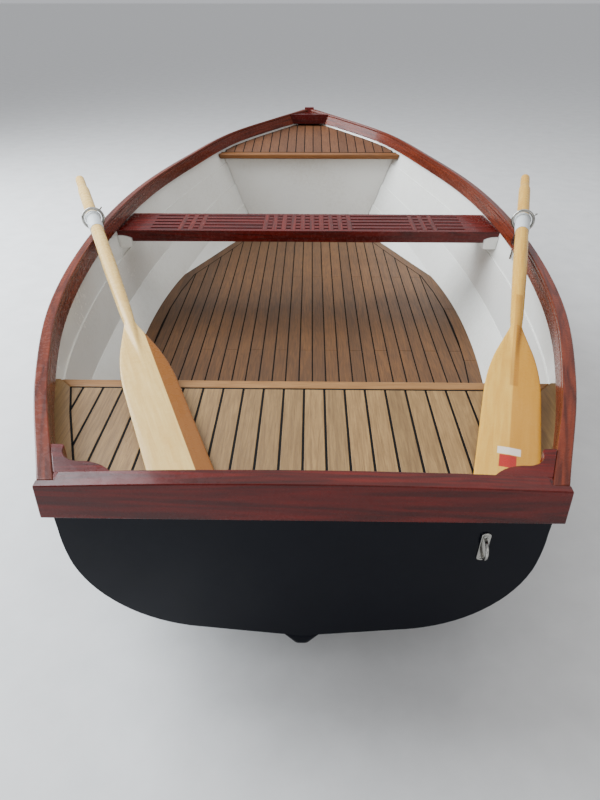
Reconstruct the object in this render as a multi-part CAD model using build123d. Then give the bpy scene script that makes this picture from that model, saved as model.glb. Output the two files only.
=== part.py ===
from build123d import *
import math
import os
from collections import namedtuple

# Rowing boat: a clinker-moulded glass-fibre dinghy with varnished mahogany rails, a slotted thwart,
# teak-laid stern seat, sole and foredeck, and two wooden oars stowed in closed ring rowlocks.
# Millimetres. X to starboard, Y forward, Z up from the floor that the keel stands on.
# Y counts from the transom board's top edge while building, and the origin moves amidships at the end.

clearance = 0.3
reach = 900.0  # more than half the beam, for cutting blocks
tall = 1000.0  # more than the height

# Hull sections, from the transom to the stem. y is at the sheer and keel_y at the keel,
# so the first section leans with the transom and the last ones lean with the stem.
Station = namedtuple("Station", "y keel_y half_beam sheer_z keel_z deadrise flare bilge_r lap")
stations = [
    Station(14, 45, 443, 586, 120, 8.0, -1.0, 260, 4.0),
    Station(350, 374, 578, 576, 90, 7.0, 3.0, 230, 4.0),
    Station(750, 758, 694, 568, 54, 5.5, 6.0, 200, 4.0),
    Station(1200, 1200, 756, 565, 31, 5.0, 8.5, 175, 4.0),
    Station(1650, 1650, 766, 568, 25, 5.0, 9.5, 170, 4.0),
    Station(2050, 2050, 722, 580, 29, 6.0, 11.0, 160, 4.0),
    Station(2450, 2442, 612, 602, 40, 7.5, 14.5, 150, 4.0),
    Station(2850, 2808, 446, 637, 66, 12.0, 20.0, 110, 4.0),
    Station(3150, 3060, 212, 668, 130, 25.0, 18.0, 60, 3.0),
    Station(3350, 3215, 30, 692, 300, 55.0, 1.5, 6, 0.8),
]
section_ys = [14, 175, 350, 550, 750, 975, 1200, 1372, 1500, 1650, 1850, 2050, 2250, 2450, 2650, 2850,
              3000, 3150, 3250, 3350]
strakes = 7
skin_t = 5.0

# Gunwale: a cap with an outer leg over the skin's edge, and an inwale inside.
cap_t = 12.0
outwale_t = 8.0
outwale_h = 64.0
inwale_t = 16.0
inwale_h = 46.0

# Transom
transom_t = 20.0
board_t = 16.0
board_h = 79.0
board_camber = 11.0
panel_shy = 5.0

# Keel, stem and bilge keels
keel_foot = 13.0
keel_flank = 0.8
keel_reach = 60.0
keel_flat_from = 1050.0
keel_flat_to = 2150.0
keel_end = 2790.0
keel_aft_z = 83.0
keel_fore_z = 40.0
skeg_line = [(250, 60), (540, 28), (800, 8)]  # (y, z) along its foot
rocker_line = [(2480, 11)]
stem_w = 56.0
stem_t = 34.0
stem_head = 8.0
stem_front = [(3000, 78), (3120, 152), (3220, 270)]  # (y, z) up its forward edge
stem_back_y = 3000.0
stem_depth = 120.0
bilge_keel_x = 330.0
bilge_keel_w = 30.0
bilge_keel_from = 820.0
bilge_keel_to = 2180.0
bilge_keel_run = 230.0
bilge_keel_end_z = 60.0
bilge_keel_top_z = 115.0

# Corner pieces
knee_t = 26.0
knee_along = 80.0
knee_across = 92.0
knee_nose = 28.0
knee_round = 8.0
knee_hollow = (49.0, 32.0)  # where the scroll's hollow ends: inboard of the rail, forward of the transom
knee_swell = (72.0, 27.0)
breasthook_from = 3235.0
breasthook_l = 83.0
breasthook_t = 52.0

# Teak laid over panels
plank_w = 43.0
seam_w = 5.0
plank_t = 10.0
panel_t = 9.0
butt_gap = 1.5

# Stern seat
seat_z = 491.0
seat_front = 490.0
seat_margin = 43.0
nosing_w = 34.0
nosing_t = 24.0
locker_t = 12.0

# Sole
sole_z = 131.0
sole_front = 2640.0
sole_margin = 46.0
plank_butts = [1292.0, 2031.0]  # planks are jointed at one or the other in turn
margin_butts = [1222.0, 1672.0]

# Thwart with crossbars let in flush
thwart_aft = 1583.0
thwart_w = 225.0
thwart_z = 503.0
thwart_t = 20.0
apron_h = 44.0
apron_t = 18.0
apron_short = 52.0
slot_rows = 5
slot_pitch = 40.0
slot_w = 12.0
slot_reach = 627.0
bar_w = 19.0
bar_t = 9.0
bar_pitch = 37.7
bar_centre_count = 10
bar_side_first = 426.0
bar_side_pitch = 40.4
bar_side_count = 3
apron_notch_w = 43.0
apron_notch_h = 10.0
ledge_gap = 2.0
ledge_h = 46.0
ledge_over = 8.0
bar_over = 12.0

# Bow: the deck runs from under the breasthook to a nosing over the bulkhead
deck_l = 535.0
deck_drop = 64.0
deck_under_hook = 75.0
bulkhead_t = 12.0
bulkhead_set_in = 4.0
deck_nosing_w = 38.0
deck_nosing_t = 24.0

# Rowlocks: a ring on a pin that follows the topside's slope, in a tube let into the inwale
rowlock_y = 1372.0
pin_d = 9.5
pin_play = 0.05
socket_wall = 1.6
socket_plate_l = 56.0
socket_plate_w = 24.0
socket_plate_t = 3.0
socket_plate_r = 8.0
socket_cheek_w = 24.0
socket_cheek_h = 44.0
socket_below = 6.0
shoulder_over = 2.5
pin_below = 36.0
ring_r = 35.0
ring_bar = 10.0
ring_sides = 10
ring_rise = 7.0
stub_d = 6.0
stub_l = 16.0
stub_angle = 50.0

# Oars
oar_length = 1845.0
oar_outboard_stbd = 1360.0
oar_outboard_port = 1385.0
oar_shaft_d = 43.0
oar_neck_d = 34.0
oar_taper_l = 300.0
oar_grip_d = 36.0
oar_grip_l = 120.0
oar_grip_taper = 30.0
oar_grip_round = 8.0
blade_shoulder = (42.0, 515.0)  # half width and distance from the tip, where the shoulder runs out straight
blade_tip_round = 22.0
blade_full_to = 330.0
blade_edge_t = 5.0
blade_spine_from = 380.0
oar_blade_l = 690.0
oar_blade_w = 124.0
oar_blade_t = 11.0
sleeve_d = 50.0
sleeve_bore = 43.6
sleeve_aft = 95.0
sleeve_taper = 40.0
sleeve_thin = 1.2
sleeve_fwd = 22.0
sleeve_flange = 3.0
sleeve_flange_t = 6.0
oar_yaw_stbd = 16.5
oar_yaw_port = 23.0

# Transom eye
eye_x = 335.0
eye_z = 427.0
eye_plate_w = 17.0
eye_plate_h = 75.0
eye_plate_t = 3.0
eye_plate_r = 7.5
eye_rod = 6.0
eye_rod_sides = 8
eye_reach = 24.0
eye_loop_h = 30.0

parts = {}


def station_at(y):
    # Cubic interpolation between the stations, column by column.
    last = len(stations) - 1
    i = max(1, next((k for k, s in enumerate(stations) if s.y >= y), last))
    a, b = stations[i - 1], stations[i]
    before = stations[i - 2] if i > 1 else a
    after = stations[i + 1] if i + 1 < len(stations) else b
    t = (y - a.y) / (b.y - a.y)
    values = []
    for p0, p1, p2, p3 in zip(before, a, b, after):
        slope_a = (p2 - p0) / (b.y - before.y) * (b.y - a.y)
        slope_b = (p3 - p1) / (after.y - a.y) * (b.y - a.y)
        h = t * t * (3 - 2 * t)
        values.append(p1 * (1 - h) + p2 * h + slope_a * t * (1 - t) ** 2 - slope_b * t * t * (1 - t))
    return Station(*values)


def skin_top(st):
    return st.sheer_z - cap_t - clearance


def strake_edges(st):
    # Bottom line, bilge arc and topside line, cut into strakes of equal girth.
    dead, flare = math.radians(st.deadrise), math.radians(st.flare)
    depth = skin_top(st) - st.keel_z
    corner_x = (st.half_beam - depth * math.tan(flare)) / (1 - math.tan(dead) * math.tan(flare))
    corner_z = st.keel_z + corner_x * math.tan(dead)
    turn = math.pi / 2 - dead - flare
    tangent = st.bilge_r * math.tan(turn / 2)
    bottom = corner_x / math.cos(dead) - tangent
    side = (skin_top(st) - corner_z) / math.cos(flare) - tangent
    bend = st.bilge_r * turn
    centre_x = bottom * math.cos(dead) - st.bilge_r * math.sin(dead)
    centre_z = st.keel_z + bottom * math.sin(dead) + st.bilge_r * math.cos(dead)
    edges = []
    for i in range(strakes + 1):
        s = (bottom + bend + side) * i / strakes
        if s <= bottom:
            edges.append((s * math.cos(dead), st.keel_z + s * math.sin(dead)))
        elif s < bottom + bend:
            angle = dead + (s - bottom) / st.bilge_r
            edges.append((centre_x + st.bilge_r * math.sin(angle), centre_z - st.bilge_r * math.cos(angle)))
        else:
            up = bottom + bend + side - s
            edges.append((st.half_beam - up * math.sin(flare), skin_top(st) - up * math.cos(flare)))
    return edges


def meet(p, v, q, w):
    # Where the line through p along v crosses the line through q along w.
    k = ((q[0] - p[0]) * w[1] - (q[1] - p[1]) * w[0]) / (v[0] * w[1] - v[1] * w[0])
    return (p[0] + k * v[0], p[1] + k * v[1])


def side_points(st, offset, shift=0.0):
    # Half section from keel to sheer, offset outward. Each strake's lower edge stands proud of the
    # strake below by the lap, and the step lies at the strake's edge, shifted up along it.
    edges = strake_edges(st)
    strips = []
    for k in range(strakes):
        (x0, z0), (x1, z1) = edges[k], edges[k + 1]
        length = math.hypot(x1 - x0, z1 - z0)
        up = ((x1 - x0) / length, (z1 - z0) / length)
        out = (up[1], -up[0])
        proud = st.lap if k else 0
        way = (x1 - x0 - proud * out[0], z1 - z0 - proud * out[1])
        top = (x1 + offset * out[0], z1 + offset * out[1])
        step = (x0 + shift * up[0], z0 + shift * up[1])
        strips.append((top, way, step, out))
    points = [meet(strips[0][0], strips[0][1], (0, 0), (0, 1))]
    for (top, way, _, _), (next_top, next_way, step, out) in zip(strips, strips[1:]):
        points.append(meet(top, way, step, out))
        points.append(meet(next_top, next_way, step, out))
    points.append(strips[-1][0])
    return points


def in_plane(st, x, z):
    # A point of the leaning section plane.
    lean = (st.y - st.keel_y) / (st.sheer_z - st.keel_z)
    return Vector(x, st.keel_y + lean * (z - st.keel_z), z)


def mirrored(points):
    return [(-x, z) for x, z in points]


def loft_through(sections):
    return Solid.make_loft([Wire.make_polygon(points, close=True) for points in sections], True)


def shell_section(st):
    outer = side_points(st, 0)
    inner = side_points(st, -skin_t, skin_t)
    ring = mirrored(outer)[:0:-1] + outer + inner[:0:-1] + mirrored(inner)
    return [in_plane(st, x, z) for x, z in ring]


def block_section(st, offset, shift, rise):
    # The whole section as a filled outline, carried on above the sheer.
    side = side_points(st, offset, shift)
    (x0, z0), (x1, z1) = side[-2:]
    k = rise / (z1 - z0)
    side.append((x1 + k * (x1 - x0), z1 + rise))
    return [in_plane(st, x, z) for x, z in mirrored(side)[:0:-1] + side]


def rail_frame(st):
    # Origin on the skin's top outer corner, with the directions out of and up along the top strake.
    (x0, z0), (x1, z1) = side_points(st, 0)[-2:]
    length = math.hypot(x1 - x0, z1 - z0)
    return (x1, z1), ((z1 - z0) / length, -(x1 - x0) / length), ((x1 - x0) / length, (z1 - z0) / length)


def rail_section(st, corners):
    (x, z), out, up = rail_frame(st)
    return [in_plane(st, x + a * out[0] + b * up[0], z + a * out[1] + b * up[1]) for a, b in corners]


def rail(corners):
    return loft_through([rail_section(st, corners) for st in stations])


def pair(name, solid):
    parts[name + "_starboard"] = solid
    parts[name + "_port"] = mirror(solid, Plane.YZ)


def slab(x0, x1, y0, y1, z0, z1):
    return Pos((x0 + x1) / 2, (y0 + y1) / 2, (z0 + z1) / 2) * Box(x1 - x0, y1 - y0, z1 - z0)


def sections_between(y0, y1):
    # The hull's sections from the last one before y0 to the first one after y1.
    ys = section_ys
    first = max(i for i, y in enumerate(ys) if y <= max(y0, ys[0]) and i < len(ys) - 1)
    last = min(i for i, y in enumerate(ys) if y >= min(y1, ys[-1]) and i > 0)
    return [station_at(y) for y in ys[first:last + 1]]


block_rise = 160.0
block_margin = 60.0


def inside(y0, y1):
    offset, shift = -skin_t - clearance, skin_t + clearance
    return loft_through([block_section(st, offset, shift, block_rise) for st in sections_between(y0, y1)])


def outside(y0, y1):
    near = sections_between(y0, y1)
    return loft_through([block_section(st, clearance, -clearance, block_rise) for st in near])


def fitted(shape):
    # Trimmed to the hull's inside, a clearance off the skin.
    box = shape.bounding_box()
    return shape & inside(box.min.Y - block_margin, box.max.Y + block_margin)


def between_rails(shape):
    # Trimmed to the space between the two inwales.
    box = shape.bounding_box()
    face, low, high = inwale_in - clearance, -inwale_h - block_margin, block_margin
    near = sections_between(box.min.Y - block_margin, box.max.Y + block_margin)
    half = [rail_section(st, [(face, low), (face, high)]) for st in near]
    return shape & loft_through([[Vector(-b.X, b.Y, b.Z), Vector(-t.X, t.Y, t.Z), t, b] for b, t in half])


def inner_half(y, z):
    # Half breadth between the hull's inner faces at this place.
    points = side_points(station_at(y), -skin_t - clearance, skin_t + clearance)
    for (x0, z0), (x1, z1) in zip(points, points[1:]):
        if z0 <= z <= z1:
            return x0 + (x1 - x0) * (z - z0) / (z1 - z0)
    return points[-1][0]


def plan(y0, y1, z, inset):
    # The hull's inner outline at height z, seen from above, taken in by inset.
    ys = [y0] + [y for y in section_ys if y0 < y < y1] + [y1]
    side = [(inner_half(y, z) - inset, y) for y in ys]
    return side + [(-x, y) for x, y in reversed(side)]


def prism(points, z0, z1):
    return extrude(Pos(0, 0, z0) * make_face(Polyline(*points, close=True)), z1 - z0)


def profile_y(points, half_width):
    # A side profile of (y, z) points, as wide as told about the centreline.
    face = make_face(Polyline(*[(0, y, z) for y, z in points], close=True))
    return extrude(face, half_width, both=True, dir=(1, 0, 0))


def gaps_at(ys):
    # Thin cutting blocks across the boat, for butt joints.
    return [slab(-reach, reach, y - butt_gap / 2, y + butt_gap / 2, 0, tall) for y in ys]


def strips(shape, seam_on_centre, butts=()):
    # Planks of one width, cut out of a panel, with a seam or a plank on the centreline, and jointed in
    # turn at the butts. Scraps smaller than a plank's square are left out.
    box = shape.bounding_box()
    pitch = plank_w + seam_w
    start = seam_w / 2 if seam_on_centre else -plank_w / 2
    count = int((box.max.X + pitch) / pitch)
    planks = []
    for i in range(-count - 1, count + 1):
        x = start + i * pitch
        cut = shape & slab(x, x + plank_w, box.min.Y, box.max.Y, box.min.Z, box.max.Z)
        if cut and butts:
            cut = cut - gaps_at([butts[i % len(butts)]])
        if cut:
            planks += [s for s in cut.solids() if s.volume > plank_w * plank_t * plank_w]
    return Compound(planks)


# Hull and gunwale
sections = [station_at(y) for y in section_ys]
parts["hull_shell"] = loft_through([shell_section(st) for st in sections])
inwale_out = -(skin_t + clearance)
inwale_in = inwale_out - inwale_t
leg_out = clearance + outwale_t
gunwale_corners = [
    (inwale_in, clearance),
    (clearance, clearance),
    (clearance, -outwale_h),
    (leg_out, -outwale_h),
    (leg_out, clearance + cap_t),
    (inwale_in, clearance + cap_t),
]
leg_corners = [(0, -outwale_h), (leg_out, -outwale_h), (leg_out, clearance + cap_t), (0, clearance + cap_t)]
inwale_corners = [(inwale_in, -inwale_h), (inwale_out, -inwale_h), (inwale_out, 0), (inwale_in, 0)]
leg_end = make_face(Polyline(*rail_section(sections[0], leg_corners), close=True))
aft = Vector(0, -1, 0)
gunwale = loft_through([rail_section(st, gunwale_corners) for st in sections])
leg_tail = extrude(leg_end, board_t, dir=aft)
leg_tail = leg_tail - slab(0, sections[0].half_beam + 2 * clearance, -reach, sections[0].y, 0, tall)
gunwale = gunwale + leg_tail
inwale = loft_through([rail_section(st, inwale_corners) for st in sections])

# Transom, leaning with the first section
first = sections[0]
rake_up = Vector(0, first.y - first.keel_y, first.sheer_z - first.keel_z).normalized()
rake_out = Vector(1, 0, 0).cross(rake_up)
transom_plane = Plane(origin=(0, first.y, first.sheer_z), x_dir=(1, 0, 0), z_dir=rake_out)


def transom_y(z):
    return first.keel_y + (first.y - first.keel_y) * (z - first.keel_z) / (first.sheer_z - first.keel_z)


def arched(half, drop, depth):
    # A face of the transom's plane, from drop below its arched top edge down to depth.
    wide = first.half_beam
    rim = [
        Line((-wide, -depth), (wide, -depth)),
        Line((wide, -depth), (wide, -drop)),
        ThreePointArc((wide, -drop), (0, board_camber - drop), (-wide, -drop)),
        Line((-wide, -drop), (-wide, -depth)),
    ]
    return make_face(rim) & Rectangle(2 * half, 4 * depth)


# The square-cut ends keep well off the rails, whose corners lean a little.
end_gap = 4 * clearance
rail_gap = first.half_beam + inwale_in - end_gap
panel_side_z = cap_t + panel_shy
panel_face = arched(rail_gap, cap_t + clearance, board_h)
panel_face += Pos(0, -panel_side_z - first.sheer_z / 2) * Rectangle(3 * first.half_beam, first.sheer_z)
parts["transom_panel"] = fitted(transom_plane * extrude(panel_face, -transom_t))
board_face = arched(first.half_beam - end_gap, 0, board_h)
board_rail = arched(rail_gap, 0, board_h) - arched(rail_gap, cap_t, board_h)
parts["transom_board"] = transom_plane * (extrude(board_face, board_t) + extrude(board_rail, -transom_t))
transom_depth = transom_t + clearance
transom_room = transom_plane * (Pos(0, 0, -transom_depth / 2) * Box(2 * reach, 2 * tall, transom_depth))
inwale = inwale - transom_room

# Keel, bilge keels and stem
keel_lines = [
    (transom_y(keel_aft_z), keel_aft_z),
    *skeg_line,
    (keel_flat_from, 0),
    (keel_flat_to, 0),
    *rocker_line,
    (keel_end, keel_fore_z),
]


def keel_section(y, z):
    top = keel_foot + keel_flank * keel_reach
    return [(-keel_foot, y, z), (keel_foot, y, z), (top, y, z + keel_reach), (-top, y, z + keel_reach)]


keel = loft_through([keel_section(y, z) for y, z in keel_lines])
parts["keel"] = keel - outside(0, keel_end + block_margin)
runner = [
    (bilge_keel_from, bilge_keel_top_z),
    (bilge_keel_from, bilge_keel_end_z),
    (bilge_keel_from + bilge_keel_run, 0),
    (bilge_keel_to - bilge_keel_run, 0),
    (bilge_keel_to, bilge_keel_end_z),
    (bilge_keel_to, bilge_keel_top_z),
]
bilge_keel = Pos(bilge_keel_x, 0, 0) * profile_y(runner, bilge_keel_w / 2)
pair("bilge_keel", bilge_keel - outside(bilge_keel_from, bilge_keel_to))
head = sections[-1]
stem_edge = [
    (keel_end + clearance, keel_fore_z),
    *stem_front,
    (head.y + stem_t, head.sheer_z + stem_head),
    (head.y + clearance, head.sheer_z + stem_head),
    (head.keel_y, head.keel_z),
    (stem_back_y, stem_front[0][1] + stem_depth),
    (keel_end + clearance, keel_fore_z + stem_depth),
]
parts["stem"] = profile_y(stem_edge, stem_w / 2) - outside(keel_end - block_margin, head.y)

# Corner pieces
knee_z = station_at(knee_along).sheer_z
knee_y = transom_y(knee_z - knee_t) + transom_t + clearance
knee_tip = knee_y + knee_along
(tip_x, _), tip_out, _ = rail_frame(station_at(knee_tip))
nose_x = tip_x + inwale_in * tip_out[0] - knee_nose
hollow_end = (rail_gap - knee_hollow[0] + knee_nose, knee_y + knee_hollow[1])
swell = (rail_gap - knee_swell[0], knee_y + knee_swell[1] - knee_round)
knee_end = (rail_gap - knee_across, knee_y)
knee_edge = [
    Line((tip_x, knee_y), (tip_x, knee_tip)),
    Line((tip_x, knee_tip), (nose_x + knee_round, knee_tip)),
    TangentArc((nose_x + knee_round, knee_tip), (nose_x, knee_tip - knee_round), tangent=(-1, 0)),
    TangentArc((nose_x, knee_tip - knee_round), hollow_end, tangent=(0, -1)),
    ThreePointArc(hollow_end, swell, knee_end),
    Line(knee_end, (tip_x, knee_y)),
]
knee = extrude(Pos(0, 0, knee_z - knee_t) * make_face(knee_edge), knee_t)
pair("quarter_knee", between_rails(knee))
bow = station_at(breasthook_from)
breasthook_to = breasthook_from + breasthook_l
hook = slab(-reach, reach, breasthook_from, breasthook_to, bow.sheer_z - breasthook_t, bow.sheer_z)
parts["breasthook"] = between_rails(hook)

# Stern seat
seat_y0 = transom_y(seat_z - nosing_t) + transom_t + clearance
seat_y1 = seat_front - nosing_w
lay_z = seat_z - plank_t
panel_z = lay_z - clearance
parts["seat_panel"] = fitted(slab(-reach, reach, seat_y0, seat_y1, panel_z - panel_t, panel_z))
seat_field = prism(plan(seat_y0, seat_y1 - seam_w, seat_z, seat_margin + seam_w), lay_z, seat_z)
parts["seat_planks"] = strips(seat_field, True)

# The nosing meets the side margins in mitres.
mitre_in = inner_half(seat_y1, seat_z) - seat_margin
mitre_out = mitre_in + nosing_w
nosing_low = seat_z - nosing_t


def nosing_plan(slack):
    front = seat_front + slack
    near, far = mitre_in + slack, mitre_out + slack
    return [(-far, front), (far, front), (near, seat_y1 - slack), (-near, seat_y1 - slack)]


parts["seat_nosing"] = prism(nosing_plan(0), nosing_low, seat_z)
seat_ring = prism(plan(seat_y0, seat_front, seat_z, -seat_margin), lay_z, seat_z)
seat_ring += slab(-reach, reach, seat_y1 + clearance, seat_front, nosing_low, seat_z)
seat_ring -= prism(plan(0, seat_y1, seat_z, seat_margin), lay_z, seat_z)
seat_ring -= prism(nosing_plan(clearance), nosing_low, seat_z)
pair("seat_margin", fitted(seat_ring & slab(0, reach, 0, tall, 0, tall)))
locker_y = seat_y1 - clearance - locker_t
parts["seat_locker_front"] = fitted(
    slab(-reach, reach, locker_y, locker_y + locker_t, 0, panel_z - panel_t - clearance))

# Sole
sole_y0 = locker_y + locker_t + clearance
sole_lay = sole_z - plank_t
sole_panel_z = sole_lay - clearance
parts["sole_panel"] = fitted(slab(-reach, reach, sole_y0, sole_front, sole_panel_z - panel_t, sole_panel_z))
sole_field = prism(plan(sole_y0, sole_front - sole_margin, sole_z, sole_margin + seam_w), sole_lay, sole_z)
parts["sole_planks"] = strips(fitted(sole_field), False, plank_butts)
sole_ring = prism(plan(sole_y0, sole_front, sole_z, -sole_margin), sole_lay, sole_z)
sole_ring_end = sole_front - sole_margin + seam_w
sole_ring -= prism(plan(sole_y0 - clearance, sole_ring_end, sole_z, sole_margin), sole_lay, sole_z)
parts["sole_margins"] = fitted(sole_ring) - gaps_at(margin_butts)

# Thwart
thwart_fwd = thwart_aft + thwart_w
thwart_mid = (thwart_aft + thwart_fwd) / 2
thwart_under = thwart_z - thwart_t
thwart = fitted(slab(-reach, reach, thwart_aft, thwart_fwd, thwart_under, thwart_z))
bar_xs = [(i - (bar_centre_count - 1) / 2) * bar_pitch for i in range(bar_centre_count)]
for i in range(bar_side_count):
    x = bar_side_first + i * bar_side_pitch
    bar_xs += [-x, x]
bar_xs = sorted(bar_xs)
first_slot = thwart_mid - slot_pitch * (slot_rows - 1) / 2
for row in range(slot_rows):
    y = first_slot + row * slot_pitch
    slot = Pos(0, y, thwart_z) * SlotOverall(2 * slot_reach, slot_w)
    thwart -= extrude(slot, thwart_t * 2, both=True)
bar_span = (slot_rows - 1) * slot_pitch + slot_w + 2 * bar_over
bars = []
for x in bar_xs:
    half_w, half_span = bar_w / 2 + clearance, bar_span / 2 + clearance
    room_z = thwart_z - bar_t - clearance
    thwart -= slab(x - half_w, x + half_w, thwart_mid - half_span, thwart_mid + half_span, room_z, thwart_z)
    bars.append(Pos(x, thwart_mid, thwart_z - bar_t / 2) * Box(bar_w, bar_span, bar_t))
parts["thwart"] = thwart
parts["thwart_crossbars"] = Compound([b.solid() for b in bars])
apron_half = inner_half(thwart_mid, thwart_under) - apron_short
apron_z0, apron_z1 = thwart_z - apron_h, thwart_under - clearance


def apron(y0, y1, slack=0.0):
    # Its ends are hollowed to clear the ledge's rounded nose, and run on under the thwart as a tongue.
    low, high = apron_z0 - slack, apron_z1
    half, neck = apron_half + slack, apron_z1 - apron_notch_h - slack
    wide = half + apron_notch_w
    rim = [
        Line((-half, low), (half, low)),
        Line((half, low), (half, neck)),
        TangentArc((wide, high), (half, neck), tangent=(-1, 0)),
        Line((wide, high), (-wide, high)),
        TangentArc((-wide, high), (-half, neck), tangent=(1, 0)),
        Line((-half, neck), (-half, low)),
    ]
    return extrude(Pos(0, y1, 0) * (Plane.XZ * make_face(rim)), y1 - y0)


parts["thwart_apron_aft"] = apron(thwart_aft, thwart_aft + apron_t)
parts["thwart_apron_fore"] = apron(thwart_fwd - apron_t, thwart_fwd)
ledge_y0, ledge_y1 = thwart_aft - ledge_over, thwart_fwd + ledge_over
ledge = slab(apron_half - apron_short, reach, ledge_y0, ledge_y1, apron_z1 - ledge_h, apron_z1)
ledge -= apron(ledge_y0, thwart_aft + apron_t + ledge_gap, ledge_gap)
ledge -= apron(thwart_fwd - apron_t - ledge_gap, ledge_y1, ledge_gap)
ledge -= slab(0, apron_half + ledge_gap, ledge_y0, ledge_y1, 0, apron_z1)
pair("thwart_ledge", fitted(ledge))

# Foredeck and bulkhead
deck_aft = breasthook_from - deck_l
deck_end = breasthook_from + deck_under_hook
deck_z = station_at(deck_aft).sheer_z - deck_drop
deck_rise = (bow.sheer_z - station_at(deck_aft).sheer_z) / deck_l


def deck_line(y, down):
    return (y, deck_z + deck_rise * (y - deck_aft) - down)


def deck_layer(y0, y1, top, bottom):
    corners = [deck_line(y0, bottom), deck_line(y1, bottom), deck_line(y1, top), deck_line(y0, top)]
    return profile_y(corners, reach)


deck_panel_top = plank_t + clearance
deck_panel_y = deck_aft + deck_nosing_w
parts["deck_panel"] = fitted(deck_layer(deck_panel_y, deck_end, deck_panel_top, deck_panel_top + panel_t))
deck_laid = fitted(deck_layer(deck_aft + deck_nosing_w + seam_w, deck_end, 0, plank_t))
parts["deck_planks"] = strips(deck_laid, False)
parts["deck_nosing"] = fitted(deck_layer(deck_aft, deck_aft + deck_nosing_w, 0, deck_nosing_t))
bulk_y = deck_aft + deck_nosing_w + bulkhead_set_in
bulk_top = deck_line(bulk_y, deck_panel_top + panel_t + clearance)[1]
parts["bow_bulkhead"] = fitted(slab(-reach, reach, bulk_y, bulk_y + bulkhead_t, 0, bulk_top))

# Rowlocks and oars
joint_lines = []


def along(origin, *steps):
    point = origin
    for direction, distance in steps:
        point = point + direction * distance
    return point


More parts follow.
